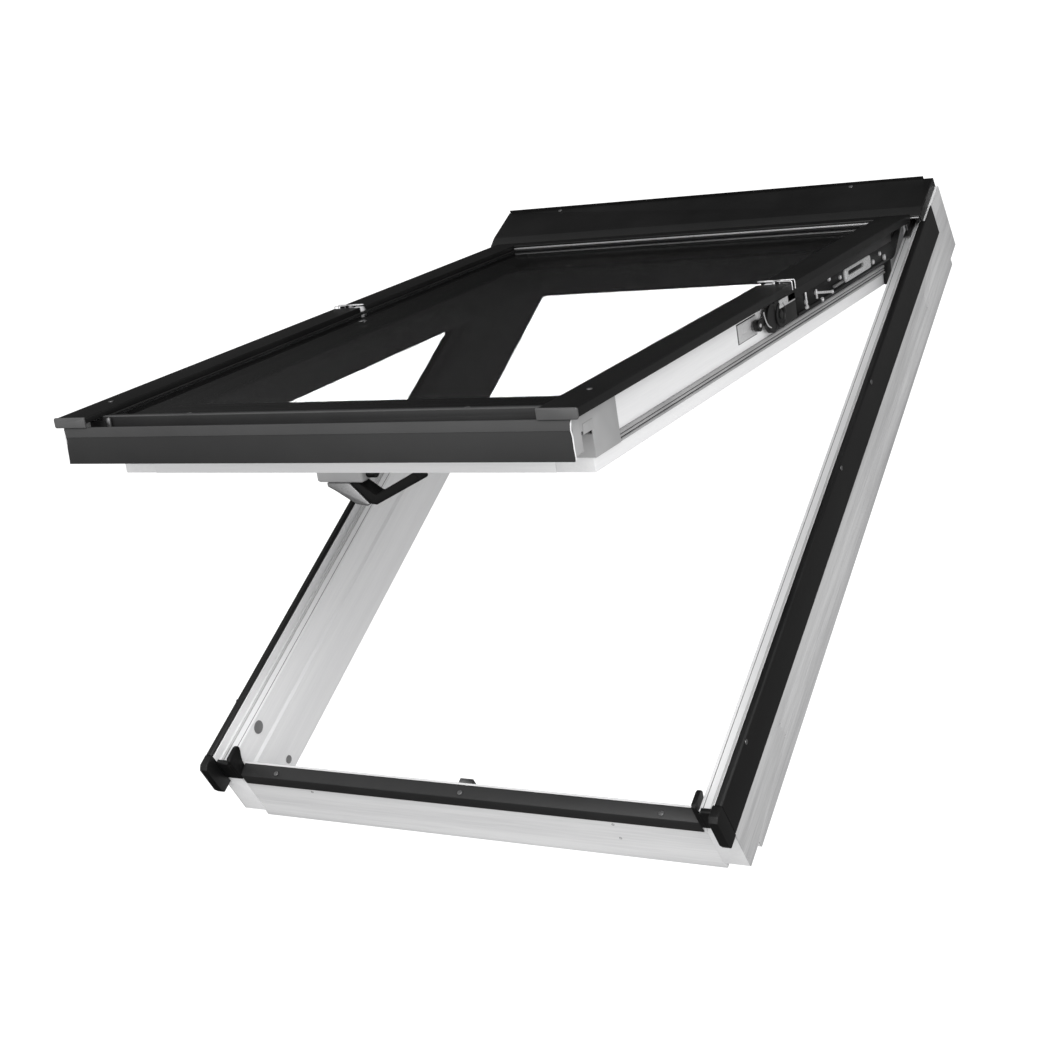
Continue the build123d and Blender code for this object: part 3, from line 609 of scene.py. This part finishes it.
def islands(node):
    """The middle and the half sizes of each separate solid in a node."""
    mesh = frame["nodes"][node].data
    group = list(range(len(mesh.vertices)))
    at = {}
    for index, vertex in enumerate(mesh.vertices):
        group[index] = at.setdefault(tuple(round(value, 6) for value in vertex.co), index)

    def root(index):
        while group[index] != index:
            group[index] = group[group[index]]
            index = group[index]
        return index

    for edge in mesh.edges:
        a, b = root(edge.vertices[0]), root(edge.vertices[1])
        group[a] = b
    found = {}
    for index, vertex in enumerate(mesh.vertices):
        found.setdefault(root(index), []).append(vertex.co)
    result = []
    for points in found.values():
        low = Vector([min(point[axis] for point in points) for axis in range(3)])
        high = Vector([max(point[axis] for point in points) for axis in range(3)])
        result.append(((low + high) / 2, (high - low) / 2))
    return result


screw_steel = plated("screw_steel", 0.15, 0.25, 0.34, 0.8)
screw_sink = 0.0006
sill_cover_slope, hood_slope = -0.102, 0.048
screws = []
for middle, half in islands("frame_cover_screws"):
    if half.x < half.y and half.x < half.z:
        axis = Vector((math.copysign(1, middle.x), 0, 0))
        place = Vector((math.copysign(cover_face, middle.x), middle.y, middle.z))
    else:
        axis = Vector((0, sill_cover_slope if middle.y < 0 else hood_slope, 1)).normalized()
        place = middle - axis * screw_sink
    screws.append(cross_screw(place, axis))
dressed(joined("frame_screw_set", screws), screw_steel, "frame", ["frame_cover_screws"])


# Keeper on the sill, hinge brackets on the ledges and hinge pins: pressed steel, zinc
# plated.
steel_edge = 0.0004
steel = plated("zinc_plate", 0.30, 0.42, 0.34)
for node in ("keeper_plate", "hinge_bracket_left", "hinge_bracket_right", "hinge_pins"):
    finished(node, steel_edge, steel)


# Lifting arms: pressed steel, black, with the knuckle at the top and the head of the
# centre pivot half-way down the sash.
dark_steel = plated("black_steel", 0.012, 0.022, 0.38)
for node in ("hinge_arm_left", "hinge_arm_right"):
    finished(node, steel_edge, dark_steel)


# Friction housings of the centre pivot: a black drum in a shell, held by a curved spring
# steel band, with a small adjusting knob.
sash_lean = math.radians(-28.5)
hinge_place = Vector((0, 0.517, 0.138))
arm_inner, outer_face, arm_reach = 0.3472, 0.352, 0.3552
arm_depth = arm_reach - outer_face
sheet_step = 0.0012
drum_y, drum_z = -0.002, 0.104


def soft_block(name, low, high, edge, segments=2):
    """Block between two corners with softened edges."""
    piece = block(name, low, high)
    soften(piece, edge, segments)
    return piece


def opened(piece):
    """Turn a piece made in the closed window to where the sash stands."""
    alone(piece)
    turn = Matrix.Translation(hinge_place) @ Matrix.Rotation(sash_lean, 4, "X")
    piece.matrix_world = turn @ Matrix.Translation(-hinge_place)
    bpy.ops.object.transform_apply(location=True, rotation=True, scale=True)
    return piece


def on_both_sides(name, piece, material, body, replaced=()):
    """Open out a right-hand piece, copy it to the left and finish the two as one."""
    opened(piece)
    copy = other_side(piece, name + "_left")
    return dressed(joined(name, [piece, copy]), material, body, replaced)


def wire(name, points, radius, sides=3):
    """Bent wire through points, made a mesh."""
    line = bpy.data.curves.new(name, "CURVE")
    line.dimensions = "3D"
    line.bevel_depth = radius
    line.bevel_resolution = sides
    line.use_fill_caps = True
    run = line.splines.new("POLY")
    run.points.add(len(points) - 1)
    for point, place in zip(run.points, points):
        point.co = (*place, 1)
    piece = bpy.data.objects.new(name, line)
    bpy.context.scene.collection.objects.link(piece)
    alone(piece)
    bpy.ops.object.convert(target="MESH")
    piece = bpy.context.object
    bpy.ops.object.shade_smooth_by_angle(angle=math.radians(60))
    return piece


shell = soft_block("housing_shell", (outer_face, drum_y - 0.015, drum_z - 0.016),
                   (arm_reach - sheet_step, drum_y + 0.055, drum_z + 0.021), 0.0010, 3)
body = turned("housing_body", (arm_inner, drum_y - 0.026, drum_z + 0.001), 0.0195, 0.0065,
              outwards, 48, 0.0035, 0.0008, 0.0008)
drum = turned("drum", (outer_face, drum_y, drum_z), 0.0175, arm_depth, outwards, 48, 0.0045,
              0.0012, 0.0006)
boss = disc("boss", (outer_face, drum_y, drum_z), 0.006, arm_depth, outwards)
soften(boss, 0.0006)
knob_y, knob_z = -0.074, 0.106
knob = turned("knob", (arm_inner, knob_y, knob_z), 0.0080, 0.0072, outwards, 28, 0.002, 0.0008,
              0.0006)
knob_arm = soft_block("knob_arm", (arm_inner, knob_y, knob_z - 0.005),
                      (arm_inner + 0.003, -0.020, knob_z + 0.006), 0.0006)
drum_plastic = moulded("drum_plastic", 0.003, 0.005, 0.34, 0.5)
on_both_sides("friction_housing_set", joined("housing", [shell, body, drum, boss, knob, knob_arm]),
              drum_plastic, "arms", ["friction_housings"])
band_radius = 0.0009
band_x = arm_reach - band_radius
band_points = [(band_x, -0.0590, 0.1200), (band_x, -0.0580, 0.1150), (band_x, -0.0560, 0.1095),
               (band_x, -0.0525, 0.1040), (band_x, -0.0470, 0.0985), (band_x, -0.0400, 0.0950)]
bright_steel = plated("bright_spring_steel", 0.62, 0.78, 0.3, 0.5)
band = wire("housing_band", band_points, band_radius)
knob_stud = disc("knob_stud", (arm_inner + 0.0058, knob_y, knob_z), 0.0026, 0.0021, outwards, 16)
soften(knob_stud, 0.0006)
on_both_sides("housing_band_set", joined("band", [band, knob_stud]), bright_steel, "arms")


# Guides on the outer face of each arm, of bright pressed steel: a slotted slide plate, the
# lever and spring that pull it, two stop pins, a bent tab and the bolts that hold them. A
# black moulded casing in two parts runs along them.
def rounded(low, high, radius, steps=5):
    """The outline of a rectangle in the plane of the arm, with round corners."""
    outline = []
    near, far = (low[0] + radius, low[1] + radius), (high[0] - radius, high[1] - radius)
    for corner, (y, z) in enumerate((far, (near[0], far[1]), near, (far[0], near[1]))):
        for step in range(steps + 1):
            angle = math.radians(90 * (corner + step / steps))
            outline.append((y + radius * math.cos(angle), z + radius * math.sin(angle)))
    return outline


def slotted_plate(name, low, high, slot_low, slot_high, rounding):
    """Flat plate in the plane of the arm, with round corners and one long slot."""
    plate = strip(name, rounded(low[1:], high[1:], rounding), low[0], high[0], "x")
    slot = strip("slot", rounded(slot_low, slot_high, (slot_high[1] - slot_low[1]) * 0.49),
                 low[0] - 0.01, high[0] + 0.01, "x")
    boolean_cut(plate, slot)
    alone(plate)
    bpy.ops.object.shade_smooth_by_angle(angle=math.radians(32))
    return plate


slot_low, slot_high = (0.256, 0.1015), (0.322, 0.1085)
slide_face = outer_face + 0.0018
slide = slotted_plate("slide_plate", (outer_face, 0.244, 0.0935), (slide_face, 0.356, 0.112),
                      slot_low, slot_high, 0.005)
slide_rim = slotted_plate("slide_rim", (slide_face, 0.250, 0.0965), (arm_reach, 0.330, 0.110),
                          slot_low, slot_high, 0.004)
fine_edge = 0.0005
tab = soft_block("tab", (arm_reach - sheet_step, -0.006, 0.1125), (arm_reach, 0.050, 0.1235),
                 fine_edge)
pin_radius = 0.0016
stop_pins = []
for name, y, z, length in (("stop_pin", 0.0910, 0.0940, 0.020),
                           ("second_pin", 0.1305, 0.0960, 0.013)):
    pin = disc(name, (arm_reach - pin_radius, y, z), pin_radius, length, (0, 0, 1), 20)
    soften(pin, fine_edge)
    stop_pins.append(pin)
pin_foot = soft_block("pin_foot", (outer_face, 0.0870, 0.0905), (arm_reach, 0.0950, 0.0950),
                      fine_edge)
lever_tilt, lever_place = -11, (0, 0.160, 0.0985)
lever = soft_block("pull_lever", (outer_face + 0.0012, -0.032, -0.0018),
                   (outer_face + 0.0026, 0.032, 0.0018), fine_edge)
lever.rotation_euler = (math.radians(lever_tilt), 0, 0)
lever.location = lever_place
alone(lever)
bpy.ops.object.transform_apply(location=True, rotation=True, scale=True)
small_bolts = []
for y, z, radius in ((0.129, 0.1045, 0.003), (0.150, 0.0905, 0.0032), (0.183, 0.1125, 0.0034),
                     (0.190, 0.0925, 0.0028), (0.226, 0.1055, 0.003), (0.366, 0.099, 0.0036),
                     (0.398, 0.105, 0.0032), (0.416, 0.096, 0.0044), (0.090, 0.1, 0.0036)):
    small_bolts.append(turned("bolt", (outer_face, y, z), radius, arm_depth - 0.0002, outwards, 20,
                              radius * 0.3, 0.0006, fine_edge))
guides = joined("guides", [slide, slide_rim, tab, *stop_pins, pin_foot, lever, *small_bolts])
on_both_sides("arm_guide_set", guides, bright_steel, "arms", ["arm_guides"])
coil_start, coil_length, coil_height, coil_turns, coil_steps = 0.196, 0.040, 0.098, 9, 12
coil_middle, coil_wide, coil_high, coil_wire = arm_reach - 0.0017, 0.0012, 0.0022, 0.0005
coil = []
for step in range(coil_turns * coil_steps + 1):
    angle = step * math.tau / coil_steps
    coil.append((coil_middle + coil_wide * math.cos(angle),
                 coil_start + coil_length * step / (coil_turns * coil_steps),
                 coil_height + coil_high * math.sin(angle)))
on_both_sides("pull_spring_set", wire("pull_spring", coil, coil_wire, sides=1), steel, "arms")
casing_low = soft_block("arm_casing", (outer_face, 0.060, 0.088),
                        (outer_face + 0.0016, 0.440, 0.0915), fine_edge)
casing_high = soft_block("arm_casing", (arm_inner + 0.0003, 0.024, 0.1135),
                         (arm_reach, 0.452, 0.1318), 0.001)
on_both_sides("arm_casing_set", joined("casing", [casing_low, casing_high]), drum_plastic, "arms")


# Cover sheets that ride on the arms, over the upper half of the sash, and the clips at
# the split: bent spring wire that bridges the covers.
for node in ("upper_side_cover_left", "upper_side_cover_right", "sash_top_cover"):
    finished(node, sheet_edge, dark_coat)
clip_y, clip_top, clip_wire = 0.011, 0.1468, 0.00075
tip, meet, edge = 0.3212, 0.3465, 0.3712
tip_half, clip_spread = 0.0008, 0.0044 / 0.0506


def clip_half(x):
    """Half the width of the hairpin, which opens out towards the side of the window."""
    return tip_half + (x - tip) * clip_spread


inner_clip = wire("inner_clip", [
    (meet, clip_y - clip_half(meet), clip_top), (tip + 0.001, clip_y - clip_half(tip), clip_top),
    (tip, clip_y, clip_top), (tip + 0.001, clip_y + clip_half(tip), clip_top),
    (meet, clip_y + clip_half(meet), clip_top)], clip_wire)
on_both_sides("inner_clip_set", inner_clip, bright_steel, "sash", ["pivot_clips_inner"])
legs = []
for way in (-1, 1):
    y = clip_y + way * clip_half(edge)
    legs.append(wire("clip_leg", [
        (meet + 0.0006, clip_y + way * clip_half(meet), clip_top), (edge - 0.0012, y, clip_top),
        (edge, y, clip_top - 0.0012), (edge, y, 0.1345)], clip_wire))
on_both_sides("outer_clip_set", joined("outer_clip", legs), bright_steel, "arms",
              ["pivot_clips_outer"])


# The wooden sash: two stiles and two rails, lacquered a cleaner white than the frame.
lean = (sash_lean, 0, 0)
sash_wood_along_y = lacquered_wood("sash_stile_lacquer", (8, 0.3, 8), lean, 0.80, 0.86)
sash_wood_along_x = lacquered_wood("sash_rail_lacquer", (0.3, 8, 8), lean, 0.80, 0.86)
for node in ("sash_stile_left", "sash_stile_right"):
    finished(node, wood_edge, sash_wood_along_y, 3)
for node in ("sash_bottom_rail", "sash_top_rail"):
    finished(node, wood_edge, sash_wood_along_x, 3)


# The glass unit: two panes, darkened partly by a tint and partly by a painted dark reflection, a
# metal spacer and a black edge seal, held under rubber beads.
glass, tree, shader = new_material("tint_and_painted_reflection_glass")
# Painted dark reflection: the low alpha and near-black colour darken all that is seen through the
# panes.
shader.inputs["Alpha"].default_value = 0.624
shader.inputs["IOR"].default_value = 1.5
smear = noise(tree, object_pattern(tree, (1, 1, 1)), 5.0, 3.0, 0.5)
painted(tree, shader, smear, 0.003, 0.005, 0.02, 0.06)
for node in ("outer_pane", "inner_pane"):
    finished(node, 0.0004, glass, 1)
spacer_metal = plated("spacer_metal", 0.10, 0.14, 0.45)
finished("glass_spacer", 0.0004, spacer_metal)
rubber = moulded("seal_rubber", 0.008, 0.012, 0.6, 0.3)
finished("glass_edge_seal", 0.0004, rubber)
finished("glazing_seal", 0.0006, rubber)


# The extruded profile across the foot of the sash: a satin drip board with a slightly raised band
# along its top, and the lip of the channel behind it. The lip is coloured lighter than the board:
# painted light on a top that faces up.
front_coat = coated_sheet("front_profile_coat", 0.020, 0.025, 0.42, 0.3)
finished("front_profile", sheet_edge, front_coat)
band_coat = coated_sheet("front_band_coat", 0.040, 0.048, 0.36, 0.35)
front_y = -0.611
board_half, lip_half = 0.3608, 0.3215
band = strip("front_band", [
    (front_y + 0.0004, 0.1195), (front_y - 0.0006, 0.1188), (front_y - 0.0006, 0.1306),
    (front_y + 0.0002, 0.1314), (front_y + 0.0020, 0.1314), (front_y + 0.0020, 0.1310),
    (front_y + 0.0008, 0.1300)], -board_half, board_half, "x")
soften(band, 0.0002, 1)
dressed(opened(band), band_coat, "sash")
# Painted light: the lip's coat is a lighter copy of the profile's coat.
lip_lit_coat = coated_sheet("channel_lip_lit_coat", 0.05, 0.07, 0.34, 0.45)
lip = strip("channel_lip", [
    (-0.5803, 0.1355), (-0.5803, 0.1369), (-0.5795, 0.1375), (-0.5755, 0.1375), (-0.5755, 0.1369),
    (-0.5790, 0.1366), (-0.5795, 0.1355)], -lip_half, lip_half, "x")
soften(lip, 0.0002, 1)
dressed(opened(lip), lip_lit_coat, "sash")


# Bright aluminium bead along the lower lip of the sash's top cover.
top_bead_half = 0.3205
top_bead = strip("glazing_top_bead", [
    (0.4752, 0.1372), (0.4750, 0.1392), (0.4757, 0.1400), (0.4767, 0.1400), (0.4767, 0.1372)],
    -top_bead_half, top_bead_half, "x")
soften(top_bead, 0.0002, 2)
dressed(opened(top_bead), plated("bead_aluminium", 0.34, 0.46, 0.3, 0.5), "arms")


# Cover sheets over the lower half of the sash, and the grey end caps that close them at
# the front.
for node in ("lower_side_cover_left", "lower_side_cover_right"):
    finished(node, sheet_edge, dark_coat)
cap_plastic = moulded("cap_plastic_moulding", 0.06, 0.085, 0.36, 0.5)
for node in ("sash_end_cap_left", "sash_end_cap_right"):
    finished(node, 0.0012, cap_plastic, 3)


# Grey corner mouldings, with a hook and a thin shoulder plate, the pale edge at each end of
# the front profile, the ribbed rubber gaskets pressed along the sides of the sash, and the
# black stops at their upper ends.
grey_plastic = moulded("grey_plastic_moulding", 0.32, 0.42, 0.45)
for node in ("side_moulding_left", "side_moulding_right"):
    finished(node, 0.0016, grey_plastic, 3)
end_x, edge_radius = 0.3613, 0.0008
hook_in, hook_out = 0.3450, 0.3565
edge_strip = wire("profile_edge", [
    (end_x, -0.6105, 0.0870), (end_x, -0.6112, 0.1000), (end_x, -0.6108, 0.1120),
    (end_x - 0.0006, -0.6118, 0.1195), (end_x, -0.6112, 0.1270), (end_x, -0.6085, 0.1312),
    (end_x, -0.5990, 0.1315)], edge_radius)
pale_edge = moulded("pale_edge_moulding", 0.62, 0.74, 0.4)
on_both_sides("profile_edge_set", edge_strip, pale_edge, "sash")
hook = strip("end_hook", [
    (-0.6085, 0.0880), (-0.6085, 0.1270), (-0.6040, 0.1285), (-0.5985, 0.1240), (-0.5960, 0.1100),
    (-0.5965, 0.1040), (-0.5900, 0.0990), (-0.5885, 0.0935), (-0.5900, 0.0880)],
    hook_in, hook_out, "x")
soften(hook, 0.0022, 4, 20)
on_both_sides("end_hook_set", hook, grey_plastic, "sash")
shoulder = soft_block("moulding_shoulder", (0.3462, -0.5620, 0.1005), (0.3476, -0.5380, 0.1125),
                      0.0004)
on_both_sides("moulding_shoulder_set", shoulder, grey_plastic, "sash")
sash_side, gasket_low = 0.342, 0.068
gasket_start, gasket_end = -0.4785, 0.435
gasket_grey = moulded("gasket_grey", 0.30, 0.38, 0.5)
gasket_ribs = []
for rise, height, reach in ((0.0000, 0.0030, 0.0040), (0.0042, 0.0030, 0.0030),
                            (0.0084, 0.0046, 0.0036)):
    low, high = gasket_low + rise, gasket_low + rise + height
    gasket_ribs.append(strip("rib", [
        (sash_side, low), (sash_side + reach * 0.8, low), (sash_side + reach, low + height * 0.3),
        (sash_side + reach, low + height * 0.7), (sash_side + reach * 0.8, high),
        (sash_side, high)], gasket_start, gasket_end, "y"))
gasket = joined("gasket", gasket_ribs)
soften(gasket, 0.0004, 2)
on_both_sides("side_gasket_set", gasket, gasket_grey, "sash",
              ["side_gasket_left", "side_gasket_right"])
web = strip("gasket_web", [
    (sash_side, gasket_low + 0.0005), (sash_side + 0.0016, gasket_low + 0.0005),
    (sash_side + 0.0016, gasket_low + 0.0125), (sash_side, gasket_low + 0.0125)],
    gasket_start, gasket_end, "y")
soften(web, 0.0003, 1)
on_both_sides("gasket_web_set", web, rubber, "sash")
finished("stop_blocks", 0.0014, black_plastic, 3)


# Catch plates, pivot plates and pivot pins on the sides of the sash: pressed steel, zinc plated
# and let into the wood. Each catch plate has a tongue, and round it a thin dark plate that is a
# painted shadow of the gap round the plate.
pale_steel = plated("pale_zinc_plate", 0.56, 0.7, 0.4, 0.25)
finished("catch_plates", 0.0003, pale_steel)
tongue = soft_block("catch_tongue", (0.3405, -0.109, 0.1015), (0.3431, -0.073, 0.1085), fine_edge)
on_both_sides("catch_tongue_set", tongue, pale_steel, "sash")
# Painted shadow: a dark plate a little larger than the catch plate, showing round its edge.
joint = soft_block("catch_shadow_outline", (0.3405, -0.1224, 0.0916), (0.34225, -0.0596, 0.1184), 0.0003, 1)
on_both_sides("catch_shadow_outline_set", joint, rubber, "sash")
for node in ("pivot_plate_left", "pivot_plate_right", "pivot_pins"):
    finished(node, steel_edge, steel)


# Screws in the sash covers and in the channel lip, and the drain pin in the left end of
# the channel.
lean_axis = Vector((0, -math.sin(sash_lean), math.cos(sash_lean)))
drain_length = 0.014
sash_screw_pieces = []
for middle, half in islands("sash_screws"):
    if half.z > 0.006:
        sash_screw_pieces.append(turned("drain_pin", middle - lean_axis * drain_length / 2, 0.003,
                                        drain_length, lean_axis, 20, 0.0008, 0.0008, 0.0006))
    else:
        sash_screw_pieces.append(cross_screw(middle - lean_axis * screw_sink, lean_axis))
dressed(joined("sash_screw_set", sash_screw_pieces), screw_steel, "sash", ["sash_screws"])


# The handle under the bottom rail: a pale moulded base, a cast lever and a black grip,
# with the lock case and its latch in the rail.
pale_plastic = moulded("pale_plastic_moulding", 0.33, 0.40, 0.32, 0.5)
finished("handle_base", 0.0012, pale_plastic, 3)
button = turned("lock_button", (0.0150, -0.5085, 0.0420), 0.0065, 0.0125, outwards, 28, 0.0018,
                0.0008, 0.0008, 3)
dressed(opened(button), black_plastic, "sash")
lever_metal = plated("cast_lever", 0.30, 0.40, 0.32)
finished("handle_lever", 0.0020, lever_metal, 4)
grip_rubber = moulded("soft_grip", 0.003, 0.005, 0.5, 0.2)
finished("handle_grip", 0.0022, grip_rubber, 4)
for node in ("lock_case", "latch_tongue", "handle_spindle"):
    finished(node, 0.0003, steel, 1)
